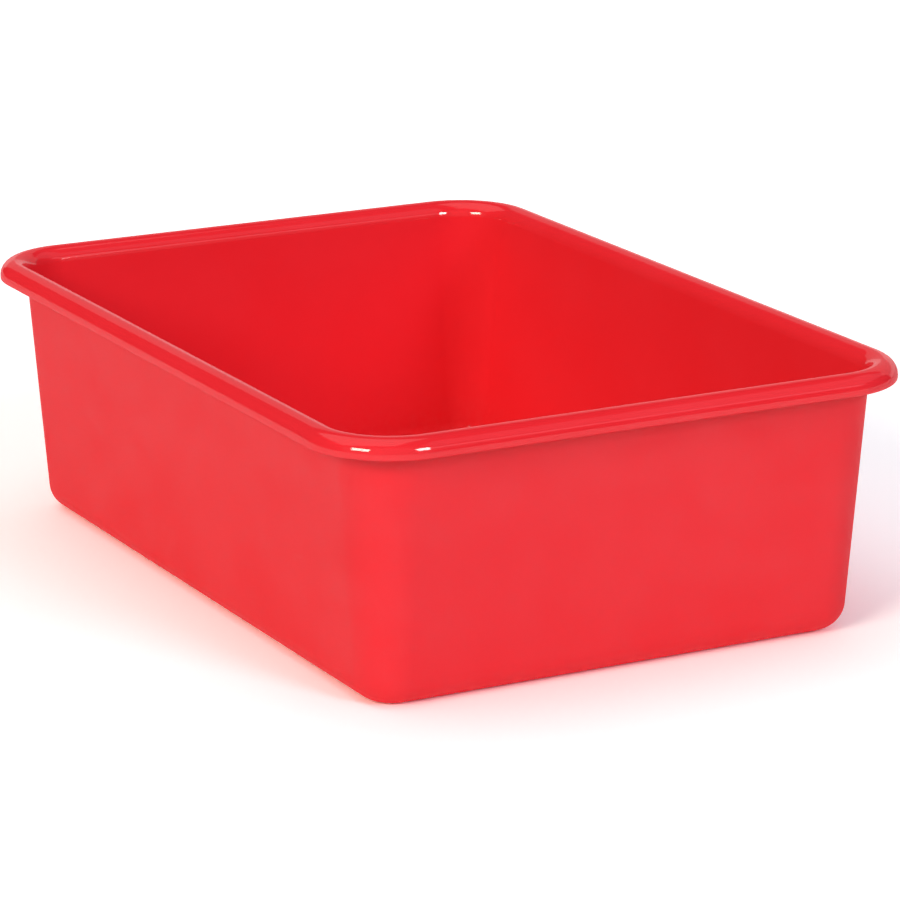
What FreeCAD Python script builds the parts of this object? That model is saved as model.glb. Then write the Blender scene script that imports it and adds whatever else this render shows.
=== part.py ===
import FreeCAD, Part
import math
import os

# Open storage tub, injection moulded in one piece: a flat floor, four walls that lean outwards
# and a rolled rim that is hollow underneath. Millimetres, +Z up. The origin is the middle of the
# base, on the surface that the tub stands on.

# Driving dimensions
rim_length = 413.0        # over the rim, along X
rim_width = 292.0         # over the rim, along Y
height = 127.0            # base to the rim's crest
rim_corner = 40.5         # plan radius of the rim's outer edge
thickness = 2.2           # walls, floor and rim, moulded to one thickness
draft = 4.5               # lean of the walls from upright, degrees
rim_reach = 15.0          # rim's outer edge to the inside of the wall, level
rim_drop = 9.1            # crest to the lower edge of the rim's skirt
rim_outer_round = 7.2     # outside radius of the rim, from skirt to crest
base_round = 13.0         # outside radius between walls and base
foot_band = 10.0          # flat ring around the base that the tub stands on
base_recess = 0.6         # how far the middle of the base is raised off the surface
recess_corner = 12.0      # plan radius of the raised middle's corners
gate_dimple_radius = 7.0  # round dimple in the middle of the base, where the plastic was injected
gate_dimple_depth = 0.4
gate_stub_radius = 1.5    # trimmed stub inside the dimple
gate_stub_height = 0.3

# Worked out from the driving dimensions
UP = FreeCAD.Vector(0, 0, 1)
lean = math.radians(draft)
lip_radius = thickness / 2
lip_height = height - rim_drop
rim_inner_round = (rim_reach - rim_outer_round) / math.cos(lean)
crest = rim_corner - rim_outer_round
corner_x = rim_length / 2 - rim_corner
corner_y = rim_width / 2 - rim_corner


def at(radius, z):
    """A point of the wall section: its distance from a corner's upright axis, and its height."""
    return FreeCAD.Vector(radius, 0, z)


def on_circle(centre, radius, degrees):
    """The point of a section circle at an angle from level, counted upwards."""
    angle = math.radians(degrees)
    return centre + at(radius * math.cos(angle), radius * math.sin(angle))


def line(start, end):
    return Part.LineSegment(start, end).toShape()


def arc(centre, radius, start, end):
    """Arc of a section circle between two angles in degrees."""
    middle = (start + end) / 2
    points = [on_circle(centre, radius, degrees) for degrees in (start, middle, end)]
    return Part.Arc(*points).toShape()


def wall_section():
    """Closed section through floor, wall and rim, from a corner's axis out to the rim's skirt."""
    rim_outer = at(crest, height - rim_outer_round)
    rim_inner = at(crest, height - rim_inner_round)
    wall_face = on_circle(rim_inner, rim_inner_round - thickness, 180 - draft)

    # The base round touches the wall and the base. It is limited by the corner's radius there.
    foot_radius = wall_face.x - wall_face.z * math.tan(lean)
    share = (1 - math.sin(lean)) / math.cos(lean)
    outer_turn = min(base_round, foot_radius / share)
    inner_turn = outer_turn - thickness
    turn = at(foot_radius - outer_turn * share, outer_turn)

    lip = at(rim_corner - lip_radius, lip_height + lip_radius)
    edges = [
        line(at(0, 0), at(turn.x, 0)),
        arc(turn, outer_turn, -90, -draft),
        line(on_circle(turn, outer_turn, -draft), wall_face),
        arc(rim_inner, rim_inner_round - thickness, 180 - draft, 90),
        arc(rim_outer, rim_outer_round - thickness, 90, 0),
        line(on_circle(rim_outer, rim_outer_round - thickness, 0), on_circle(lip, lip_radius, 180)),
        arc(lip, lip_radius, 180, 360),
        line(on_circle(lip, lip_radius, 0), on_circle(rim_outer, rim_outer_round, 0)),
        arc(rim_outer, rim_outer_round, 0, 90),
        arc(rim_inner, rim_inner_round, 90, 180 - draft),
        line(on_circle(rim_inner, rim_inner_round, 180 - draft), on_circle(turn, inner_turn, -draft)),
        arc(turn, inner_turn, -draft, -90),
        line(at(turn.x, thickness), at(0, thickness)),
        line(at(0, thickness), at(0, 0)),
    ]
    return Part.Face(Part.Wire(edges)), turn.x


def shell():
    """The section carried round the tub: straight along each side, and turned at each corner."""
    section, foot_edge = wall_section()
    corners = [
        FreeCAD.Vector(corner_x, corner_y, 0),
        FreeCAD.Vector(-corner_x, corner_y, 0),
        FreeCAD.Vector(-corner_x, -corner_y, 0),
        FreeCAD.Vector(corner_x, -corner_y, 0),
    ]
    middle = Part.makeBox(2 * corner_x, 2 * corner_y, thickness, corners[2])
    runs = []
    for turn, corner in enumerate(corners):
        face = section.copy()
        face.rotate(FreeCAD.Vector(), UP, 90 * turn)
        face.translate(corner)
        runs.append(face.extrude(corners[turn - 1] - corner))
        runs.append(face.revolve(corner, UP, 90))
    return middle.multiFuse(runs).removeSplitter(), foot_edge


def rounded_block(half_x, half_y, corner, depth):
    """Upright block with rounded corners, standing on the base plane."""
    block = Part.makeBox(2 * half_x, 2 * half_y, depth, FreeCAD.Vector(-half_x, -half_y, 0))
    upright = [edge for edge in block.Edges if abs(edge.tangentAt(edge.FirstParameter).z) > 0.5]
    return block.makeFillet(corner, upright)


def tub():
    """The moulding: the shell, less the raised middle of its base and the gate's dimple."""
    body, foot_edge = shell()
    recess_x = corner_x + foot_edge - foot_band
    recess_y = corner_y + foot_edge - foot_band
    recess = rounded_block(recess_x, recess_y, recess_corner, base_recess)
    dimple = Part.makeCylinder(gate_dimple_radius, base_recess + gate_dimple_depth)
    stub_foot = base_recess + gate_dimple_depth - gate_stub_height
    stub = Part.makeCylinder(gate_stub_radius, gate_stub_height, FreeCAD.Vector(0, 0, stub_foot))
    return body.cut([recess, dimple.cut(stub)]).removeSplitter()


os.makedirs("parts", exist_ok=True)
tub().exportStep("parts/tub.step")
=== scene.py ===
import bpy
import numpy as np
from mathutils import Matrix, Vector


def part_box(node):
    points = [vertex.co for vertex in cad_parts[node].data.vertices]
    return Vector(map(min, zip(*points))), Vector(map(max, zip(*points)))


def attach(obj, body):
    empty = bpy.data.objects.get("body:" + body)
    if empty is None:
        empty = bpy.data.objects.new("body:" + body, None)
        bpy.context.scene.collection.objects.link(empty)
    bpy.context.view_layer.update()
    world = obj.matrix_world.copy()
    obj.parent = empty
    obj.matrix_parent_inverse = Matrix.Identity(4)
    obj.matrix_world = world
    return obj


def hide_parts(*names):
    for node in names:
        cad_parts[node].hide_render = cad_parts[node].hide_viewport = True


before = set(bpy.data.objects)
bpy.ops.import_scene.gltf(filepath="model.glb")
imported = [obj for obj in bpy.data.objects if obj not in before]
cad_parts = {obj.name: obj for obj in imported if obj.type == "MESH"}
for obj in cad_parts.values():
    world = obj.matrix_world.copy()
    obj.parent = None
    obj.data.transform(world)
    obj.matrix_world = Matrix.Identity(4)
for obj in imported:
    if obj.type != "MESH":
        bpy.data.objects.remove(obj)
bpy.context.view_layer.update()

# The tub: one injection moulding of red polypropylene, with floor, leaning walls and rolled rim in one skin.
# The mould leaves a fine grain on the walls and a polished rim, and the plastic enters through a gate in the
# middle of the base. Nothing is fixed to it. Use has worn the gloss off the inside of the floor and the foot.
low_corner, high_corner = (np.array(corner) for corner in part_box("tub"))
rim_half_x, rim_half_y = (high_corner[:2] - low_corner[:2]) / 2
height = high_corner[2] - low_corner[2]
rim_corner = 0.0405
thickness = 0.0022
draft = np.radians(4.5)
rim_reach = 0.015
rim_drop = 0.0091
rim_outer_round = 0.0072
base_round = 0.013
foot_band = 0.010
base_recess = 0.0006
recess_corner = 0.012
recess_slope = 0.0012
gate_dimple_radius = 0.007
gate_dimple_depth = 0.0004
gate_stub_radius = 0.0015
gate_stub_height = 0.0003
edge_round = 0.0002
foot_wear_reach, floor_wear_reach = 0.0012, 0.03
base_steps, wall_steps, rim_steps, skirt_steps, lip_steps = 18, 30, 20, 3, 12
corner_steps, long_steps, short_steps, floor_steps = 24, 48, 34, 14
outside, rim, inside = 0, 1, 2

quarter = np.pi / 2
lip_round = thickness / 2
rim_inner_round = (rim_reach - rim_outer_round) / np.cos(draft)
axis_x = rim_half_x - rim_corner
axis_y = rim_half_y - rim_corner


def bend(centre, radius, start, end, steps, hollow=False):
    """Arc of the section: centre plus radius times (cos, sin) of angles spaced evenly from start, leaving
    out the end. Its outward normal is the same (cos, sin), turned about on a hollow side."""
    angle = np.linspace(start, end, steps, endpoint=False)
    ray = np.stack([np.cos(angle), np.sin(angle)], axis=1)
    return centre + radius * ray, -ray if hollow else ray


def run(start, end, normal, steps):
    """Straight stretch of the section: points spaced evenly from start, leaving out the end, all with one
    normal."""
    return np.linspace(start, end, steps, endpoint=False), np.repeat([normal], steps, axis=0)


def wall_section():
    """The section from the foot, up the outside, under and over the rim and down the inside to the floor, as
    distance from a corner's axis and height. Gives points, normals, and the zone of each point."""
    rim_axis = rim_corner - rim_outer_round
    rim_outer = np.array([rim_axis, height - rim_outer_round])
    rim_inner = np.array([rim_axis, height - rim_inner_round])
    lip = np.array([rim_corner - lip_round, height - rim_drop + lip_round])
    inward = np.array([-np.cos(draft), np.sin(draft)])
    across = np.array([1.0, 0.0])
    under_outer, under_inner = rim_outer_round - thickness, rim_inner_round - thickness
    floor_round = base_round - thickness
    wall_top = rim_inner + under_inner * inward
    foot_radius = wall_top[0] - wall_top[1] * np.tan(draft)
    turn = np.array([foot_radius - base_round * (1 - np.sin(draft)) / np.cos(draft), base_round])
    stretches = [
        (outside, bend(turn, base_round, -quarter, -draft, base_steps)),
        (outside, run(turn - base_round * inward, wall_top, -inward, wall_steps)),
        (outside, bend(rim_inner, under_inner, np.pi - draft, quarter, rim_steps, hollow=True)),
        (outside, bend(rim_outer, under_outer, quarter, 0, rim_steps, hollow=True)),
        (outside, run(rim_outer + under_outer * across, lip - lip_round * across, -across, skirt_steps)),
        (rim, bend(lip, lip_round, np.pi, 2 * np.pi, lip_steps)),
        (rim, run(lip + lip_round * across, rim_outer + rim_outer_round * across, across, skirt_steps)),
        (rim, bend(rim_outer, rim_outer_round, 0, quarter, rim_steps)),
        (rim, bend(rim_inner, rim_inner_round, quarter, np.pi - draft, rim_steps)),
        (inside, run(rim_inner + rim_inner_round * inward, turn - floor_round * inward, inward, wall_steps)),
        (inside, bend(turn, floor_round, -draft, -quarter, base_steps, hollow=True)),
    ]
    points = np.concatenate([stretch[0] for zone, stretch in stretches])
    normals = np.concatenate([stretch[1] for zone, stretch in stretches])
    zones = np.concatenate([np.full(len(stretch[0]), zone) for zone, stretch in stretches])
    return points, normals, zones


def plan_path():
    """Once round the tub, without repeating the start: each corner turns a quarter about its own axis, and
    each side runs straight to the next axis. Gives the axis point and the outward direction of each step."""
    axes = np.array([[axis_x, axis_y], [-axis_x, axis_y], [-axis_x, -axis_y], [axis_x, -axis_y]])
    points, outward = [], []
    for corner, side_steps in enumerate((long_steps, short_steps, long_steps, short_steps)):
        angle = (corner + np.linspace(0, 1, corner_steps + 1)) * quarter
        ray = np.stack([np.cos(angle), np.sin(angle)], axis=1)
        share = np.linspace(0, 1, side_steps + 1)[1:-1, None]
        side = axes[corner] + share * (axes[(corner + 1) % len(axes)] - axes[corner])
        points += [np.repeat(axes[corner:corner + 1], len(ray), axis=0), side]
        outward += [ray, np.repeat(ray[-1:], len(side), axis=0)]
    return np.concatenate(points), np.concatenate(outward)


def tub_rings(axis, outward):
    """The section carried round the plan path: each point is the axis point plus the section's radius
    along the outward direction, at the section's height. The rings of both floors go on from the section's
    ends to small circles about the middle. Gives points and normals ring by ring, and each ring's zone."""
    section, section_normal, section_zone = wall_section()
    count = len(axis)
    foot = section[0, 0]
    foot_outline = axis + foot * outward
    spoke = foot_outline / np.linalg.norm(foot_outline, axis=1, keepdims=True)

    def ring(half_x, half_y, corner, level, lean):
        """Rounded rectangle of those half sizes at one level; lean is its normal, out and up."""
        scale = np.array([(half_x - corner) / axis_x, (half_y - corner) / axis_y])
        place = np.column_stack([axis * scale + corner * outward, np.full(count, level)])
        return place, np.column_stack([outward * lean[0], np.full(count, lean[1])])

    def circle(radius, level, lean):
        """Circle about the middle, met by the same spokes as the foot's outline."""
        place = np.column_stack([radius * spoke, np.full(count, level)])
        return place, np.column_stack([spoke * lean[0], np.full(count, lean[1])])

    def between(first, last):
        """Flat rings between two rings, each point moving straight from one to the other."""
        share = np.linspace(0, 1, floor_steps + 1)[1:-1]
        return [(first[0] + part * (last[0] - first[0]), last[1]) for part in share]

    down, up, out, hollow = (0.0, -1.0), (0.0, 1.0), (1.0, 0.0), (-1.0, -1.0)
    slope = (-base_recess, -recess_slope)
    half_x, half_y = axis_x + foot - foot_band, axis_y + foot - foot_band
    top_x, top_y = half_x - recess_slope, half_y - recess_slope
    dimple_floor = base_recess + gate_dimple_depth
    stub_end = dimple_floor - gate_stub_height
    middle_radius = gate_stub_radius / 2
    # Half of what the slope falls over the width of an eased edge
    slope_break = edge_round * base_recess / recess_slope / 2
    gate = [
        circle(middle_radius, stub_end, down),
        circle(gate_stub_radius - edge_round, stub_end, down),
        circle(gate_stub_radius, stub_end + edge_round, out),
        circle(gate_stub_radius, dimple_floor, out),
        circle(gate_stub_radius + edge_round, dimple_floor, down),
        circle(gate_dimple_radius - edge_round, dimple_floor, down),
        circle(gate_dimple_radius, base_recess + edge_round, hollow),
        circle(gate_dimple_radius + edge_round, base_recess, down),
    ]
    recess = [
        ring(top_x - edge_round, top_y - edge_round, recess_corner, base_recess, down),
        ring(top_x, top_y, recess_corner, base_recess - slope_break, slope),
        ring(half_x, half_y, recess_corner, slope_break, slope),
        ring(half_x + edge_round, half_y + edge_round, recess_corner, 0, down),
    ]
    under = gate + between(gate[-1], recess[0]) + recess
    floor_edge = ring(axis_x + foot, axis_y + foot, foot, thickness, up)
    floor_middle = circle(middle_radius, thickness, up)
    over = [floor_edge] + between(floor_edge, floor_middle) + [floor_middle]

    wall = axis[None] + section[:, 0, None, None] * outward[None]
    wall_points = np.dstack([wall, np.repeat(section[:, 1, None], count, axis=1)])
    wall_lean = section_normal[:, 0, None, None] * outward[None]
    wall_normals = np.dstack([wall_lean, np.repeat(section_normal[:, 1, None], count, axis=1)])
    grid = np.concatenate([[place for place, lean in under], wall_points, [place for place, lean in over]])
    leans = np.concatenate([[lean for place, lean in under], wall_normals, [lean for place, lean in over]])
    zones = np.concatenate([np.full(len(under), outside), section_zone, np.full(len(over), inside)])
    return grid, leans, zones


def tub_mesh():
    """One closed skin: each ring is joined to the next by quads, and the first and the last ring to a point
    in the middle. The UV map is the distance round the rim and the distance along the section, in metres."""
    axis, outward = plan_path()
    grid, leans, zones = tub_rings(axis, outward)
    rings, count = grid.shape[:2]
    level = grid[:, 0, 2]
    column = np.arange(count)
    following = np.roll(column, -1)
    row = np.arange(rings - 1)[:, None] * count
    quads = np.stack([row + column, row + following, row + count + following, row + count + column], axis=2)
    last = (rings - 1) * count
    under_pole, over_pole = rings * count, rings * count + 1
    under_fan = np.stack([following, column, np.full(count, under_pole)], axis=1)
    over_fan = np.stack([last + column, last + following, np.full(count, over_pole)], axis=1)
    points = np.concatenate([grid.reshape(-1, 3), [[0, 0, level[0]], [0, 0, level[-1]]]])
    normals = np.concatenate([leans.reshape(-1, 3), [[0, 0, -1], [0, 0, 1]]])
    normals /= np.linalg.norm(normals, axis=1, keepdims=True)
    mesh = bpy.data.meshes.new("tub")
    mesh.from_pydata(points, [], quads.reshape(-1, 4).tolist() + under_fan.tolist() + over_fan.tolist())
    mesh.polygons.foreach_set("use_smooth", np.ones(len(mesh.polygons), dtype=bool))
    mesh.normals_split_custom_set_from_vertices(normals)

    rim_line = axis + rim_corner * outward
    stride = np.linalg.norm(np.roll(rim_line, -1, axis=0) - rim_line, axis=1)
    around = np.concatenate([[0], np.cumsum(stride)])
    travel = np.linalg.norm(np.diff(grid[:, 0], axis=0), axis=1)
    along = np.concatenate([[0], np.cumsum(travel)])
    start, near = np.meshgrid(around[:-1], along[:-1])
    end, far = np.meshgrid(around[1:], along[1:])
    quad_uv = np.stack([start, near, end, near, end, far, start, far], axis=2).reshape(-1)
    fan_uv = np.zeros(2 * (under_fan.size + over_fan.size))
    mesh.uv_layers.new(name="skin").data.foreach_set("uv", np.concatenate([quad_uv, fan_uv]))

    foot_wear = 1 - level / foot_wear_reach
    floor_wear = 1 - (level - thickness) / floor_wear_reach
    wear = np.where(zones == inside, floor_wear, foot_wear).clip(0, 1)
    for name, value in (("polish", np.where(zones == rim, 1.0, 0.0)), ("wear", wear)):
        layer = mesh.attributes.new(name, "FLOAT", "POINT")
        layer.data.foreach_set("value", np.concatenate([np.repeat(value, count), value[[0, -1]]]))
    return mesh


tub = bpy.data.objects.new("tub_skin", tub_mesh())
bpy.context.collection.objects.link(tub)


def red_plastic():
    """Pigmented polypropylene: an even red with faint clouds of pigment, and paler fine scuffs where it is
    worn. The moulded skin is a clear gloss, a little thinner where it is smeared and gone where it is worn.
    Its index is high and its weight low, so that its gloss changes little from face on to a glancing angle,
    as on a grained skin. The bump is slow waves and mould grain on the walls, and fine lines on the rim."""
    red = (0.81, 0.0235, 0.0335, 1)
    deep_red = (0.805, 0.0205, 0.0295, 1)
    scuffed_red = (0.80, 0.10, 0.10, 1)
    skin_ior, skin_roughness = 2.0, 0.05
    polished_skin, clean_skin, smeared_skin, worn_skin = 0.25, 0.18, 0.14, 0.017
    cloud_size, smear_size, scuff_size, wave_size, grain_size = 0.045, 0.022, 0.004, 0.045, 0.0006
    cloud_detail, smear_detail, scuff_detail, wave_detail, grain_detail = 5, 6, 4, 1, 2
    wave_height, grain_height, line_height = 0.00004, 0.00002, 0.0000012
    line_length, line_width = 0.2, 0.0007
    scuff_share = 0.11
    lull, peak = 0.35, 0.65
    material = bpy.data.materials.new("red_plastic")
    material.use_nodes = True
    tree = material.node_tree
    link = tree.links.new
    surface = tree.nodes["Principled BSDF"]
    surface.inputs["Specular IOR Level"].default_value = 0
    surface.inputs["Coat IOR"].default_value = skin_ior
    surface.inputs["Coat Roughness"].default_value = skin_roughness
    place = tree.nodes.new("ShaderNodeTexCoord")

    def layer(name):
        """The mesh's own values of that name."""
        node = tree.nodes.new("ShaderNodeAttribute")
        node.attribute_name = name
        return node.outputs["Fac"]

    def noise(size, detail):
        """Noise on the tub's own coordinates, with lumps of that size in metres and so many finer layers."""
        node = tree.nodes.new("ShaderNodeTexNoise")
        node.inputs["Scale"].default_value = 1 / size
        node.inputs["Detail"].default_value = detail
        link(place.outputs["Object"], node.inputs["Vector"])
        return node.outputs["Fac"]

    def put(value, socket):
        """Sets a socket to a number or a colour, or links it to another socket."""
        if isinstance(value, bpy.types.NodeSocket):
            link(value, socket)
        else:
            socket.default_value = value

    def spread(value, low, high, to_low, to_high):
        """Value carried from the range low to high over to the range to_low to to_high."""
        node = tree.nodes.new("ShaderNodeMapRange")
        link(value, node.inputs["Value"])
        put(low, node.inputs["From Min"])
        put(high, node.inputs["From Max"])
        put(to_low, node.inputs["To Min"])
        put(to_high, node.inputs["To Max"])
        return node.outputs["Result"]

    def blend(share, first, second):
        """First colour mixed towards the second by that share."""
        node = tree.nodes.new("ShaderNodeMix")
        node.data_type = "RGBA"
        link(share, node.inputs["Factor"])
        put(first, node.inputs["A"])
        put(second, node.inputs["B"])
        return node.outputs["Result"]

    def raise_by(value, amount, strength, under):
        """Bump of that height in metres, with a strength that varies over the tub, on top of another bump."""
        node = tree.nodes.new("ShaderNodeBump")
        node.inputs["Distance"].default_value = amount
        link(strength, node.inputs["Strength"])
        link(value, node.inputs["Height"])
        if under:
            link(under, node.inputs["Normal"])
        return node.outputs["Normal"]

    wear = layer("wear")
    on_rim = layer("polish")
    on_walls = spread(on_rim, 0, 1, 1, 0)
    clouded = blend(spread(noise(cloud_size, cloud_detail), lull, peak, 0, 1), deep_red, red)
    scuffs = spread(noise(scuff_size, scuff_detail), lull, peak, 0, spread(wear, 0, 1, 0, scuff_share))
    link(blend(scuffs, clouded, scuffed_red), surface.inputs["Base Color"])
    skin = spread(noise(smear_size, smear_detail), lull, peak, smeared_skin, clean_skin)
    kept_skin = spread(wear, 0, 1, skin, worn_skin)
    link(spread(on_rim, 0, 1, kept_skin, polished_skin), surface.inputs["Coat Weight"])

    along_rim = tree.nodes.new("ShaderNodeMapping")
    along_rim.inputs["Scale"].default_value = (1 / line_length, 1 / line_width, 1)
    link(place.outputs["UV"], along_rim.inputs["Vector"])
    lines = tree.nodes.new("ShaderNodeTexNoise")
    lines.inputs["Scale"].default_value = 1
    link(along_rim.outputs["Vector"], lines.inputs["Vector"])
    bump = raise_by(noise(wave_size, wave_detail), wave_height, on_walls, None)
    bump = raise_by(noise(grain_size, grain_detail), grain_height, on_walls, bump)
    bump = raise_by(lines.outputs["Fac"], line_height, on_rim, bump)
    link(bump, surface.inputs["Normal"])
    link(bump, surface.inputs["Coat Normal"])
    return material


tub.data.materials.append(red_plastic())
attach(tub, "root")
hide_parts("tub")

# The floor: a wide white shooting table that runs out past the edge of the picture. Seen from above, it is
# matt and overexposed, as in a product picture. The lamp under it shines through. The tub just stands on it.
floor_half = 12.0
floor_level = -0.00005
table_white, seen_white = 0.88, 1.27
floor_corners = [(-1, -1), (1, -1), (1, 1), (-1, 1)]
floor_mesh = bpy.data.meshes.new("floor")
floor_points = [(x * floor_half, y * floor_half, floor_level) for x, y in floor_corners]
floor_mesh.from_pydata(floor_points, [], [range(len(floor_points))])
floor = bpy.data.objects.new("floor", floor_mesh)
bpy.context.collection.objects.link(floor)


def white_table():
    """Matt white sheet, brighter to the camera and in reflections. From below, it is clear to the eye and
    to the lamp."""
    material = bpy.data.materials.new("white_table")
    material.use_nodes = True
    tree = material.node_tree
    link = tree.links.new
    tree.nodes.remove(tree.nodes["Principled BSDF"])
    path = tree.nodes.new("ShaderNodeLightPath")
    side = tree.nodes.new("ShaderNodeNewGeometry")

    def either(first, second):
        """One where either of two tests is one."""
        node = tree.nodes.new("ShaderNodeMath")
        node.operation = "MAXIMUM"
        link(first, node.inputs[0])
        link(second, node.inputs[1])
        return node.outputs["Value"]

    seen_or_mirrored = either(path.outputs["Is Camera Ray"], path.outputs["Is Glossy Ray"])
    white = tree.nodes.new("ShaderNodeMapRange")
    white.inputs["To Min"].default_value = table_white
    white.inputs["To Max"].default_value = seen_white
    link(either(seen_or_mirrored, path.outputs["Is Transmission Ray"]), white.inputs["Value"])
    sheet = tree.nodes.new("ShaderNodeBsdfDiffuse")
    link(white.outputs["Result"], sheet.inputs["Color"])
    clear = tree.nodes.new("ShaderNodeBsdfTransparent")
    surface = tree.nodes.new("ShaderNodeMixShader")
    link(either(side.outputs["Backfacing"], path.outputs["Is Shadow Ray"]), surface.inputs["Fac"])
    link(sheet.outputs["BSDF"], surface.inputs[1])
    link(clear.outputs["BSDF"], surface.inputs[2])
    link(surface.outputs["Shader"], tree.nodes["Material Output"].inputs["Surface"])
    return material


floor_mesh.materials.append(white_table())

# The light: a dim white room with soft boxes round the tub. A warm one stands at the front left and a cooler
# one at the front right, each with a brighter core that shows only as a glint in the rim. A strip and a wide
# box light the right side, white cards stand in front, overhead and behind, and one box is under the table.
room_white, room_level = (1, 1, 1, 1), 0.05
lamp_distance, core_distance = 30.0, 29.0
lamp_aim = Vector((0, 0, 0.06))
world = bpy.data.worlds.new("studio")
bpy.context.scene.world = world
world.use_nodes = True
world.node_tree.nodes["Background"].inputs["Color"].default_value = room_white
world.node_tree.nodes["Background"].inputs["Strength"].default_value = room_level
bpy.context.scene.view_settings.view_transform = "Standard"


def soft_box(name, heading, elevation, width, height, level, tint, glint=False):
    """Flat lamp that faces the tub. Its heading from +X, its elevation and its apparent width and height are
    in degrees as seen from the tub, and level is its radiance. One for glints only stands a little nearer."""
    away = core_distance if glint else lamp_distance
    around, above = np.radians([heading, elevation])
    ray = Vector((np.cos(around) * np.cos(above), np.sin(around) * np.cos(above), np.sin(above)))
    lamp_data = bpy.data.lights.new(name, "AREA")
    lamp_data.shape = "RECTANGLE"
    lamp_data.size = 2 * away * np.tan(np.radians(width) / 2)
    lamp_data.size_y = 2 * away * np.tan(np.radians(height) / 2)
    lamp_data.energy = np.pi * lamp_data.size * lamp_data.size_y * level
    lamp_data.color = tint
    lamp = bpy.data.objects.new(name, lamp_data)
    lamp.location = lamp_aim + ray * away
    lamp.rotation_euler = ray.to_track_quat("Z", "Y").to_euler()
    lamp.visible_camera = False
    lamp.visible_diffuse = not glint
    bpy.context.collection.objects.link(lamp)


warm, cool, neutral = (1, 0.97, 0.82), (0.97, 1, 1.16), (1, 1, 1)
front_left, front_right, rear = 294, 15, 139
box_rise = 27
soft_box("front_left_box", front_left, box_rise, width=22, height=16, level=14.6, tint=warm)
soft_box("front_left_core", front_left, box_rise, width=21, height=14, level=19, tint=warm, glint=True)
soft_box("front_right_box", front_right, box_rise, width=16, height=16, level=11.8, tint=cool)
soft_box("front_right_core", front_right, box_rise, width=16, height=14, level=22, tint=warm, glint=True)
soft_box("right_strip", heading=36, elevation=box_rise, width=26, height=7, level=1.1, tint=cool)
soft_box("high_right_box", heading=70, elevation=45, width=60, height=30, level=0.5, tint=cool)
soft_box("front_card", heading=330, elevation=25, width=110, height=50, level=0.36, tint=neutral)
soft_box("overhead_card", heading=230, elevation=72, width=60, height=60, level=1.3, tint=neutral)
soft_box("under_table_box", heading=0, elevation=-90, width=60, height=60, level=1.1, tint=neutral)
soft_box("low_back_card", rear, elevation=7, width=80, height=14, level=1.7, tint=neutral)
soft_box("back_card", rear, elevation=25, width=80, height=22, level=0.8, tint=neutral)

# The camera: a long lens some way above the rim, which looks at the near corner of the tub. The aim point
# falls on the aim pixel of the picture, counted from its upper left corner.
frame_pixels = 900
focal_pixels = 4334.6
azimuth, elevation, roll = np.radians([62.058, 15.781, -0.068])
aim_point = Vector((0, 0, 0.060))
aim_pixel = (429.0, 442.49)
camera_distance = 2.0605
sensor_width = 36
back = Vector((np.sin(azimuth) * np.cos(elevation), -np.cos(azimuth) * np.cos(elevation), np.sin(elevation)))
level_right = Vector((np.cos(azimuth), np.sin(azimuth), 0))
level_up = back.cross(level_right)
right = level_right * np.cos(roll) + level_up * np.sin(roll)
up = level_up * np.cos(roll) - level_right * np.sin(roll)
offset_x, offset_y = ((pixel - frame_pixels / 2) / focal_pixels for pixel in aim_pixel)
sight = (right * offset_x - up * offset_y - back).normalized()
camera_data = bpy.data.cameras.new("camera")
camera_data.sensor_width = sensor_width
camera_data.lens = focal_pixels / frame_pixels * sensor_width
camera = bpy.data.objects.new("camera", camera_data)
bpy.context.collection.objects.link(camera)
camera_turn = Matrix((right, up, back)).transposed().to_4x4()
camera.matrix_world = Matrix.Translation(aim_point - sight * camera_distance) @ camera_turn
bpy.context.scene.camera = camera
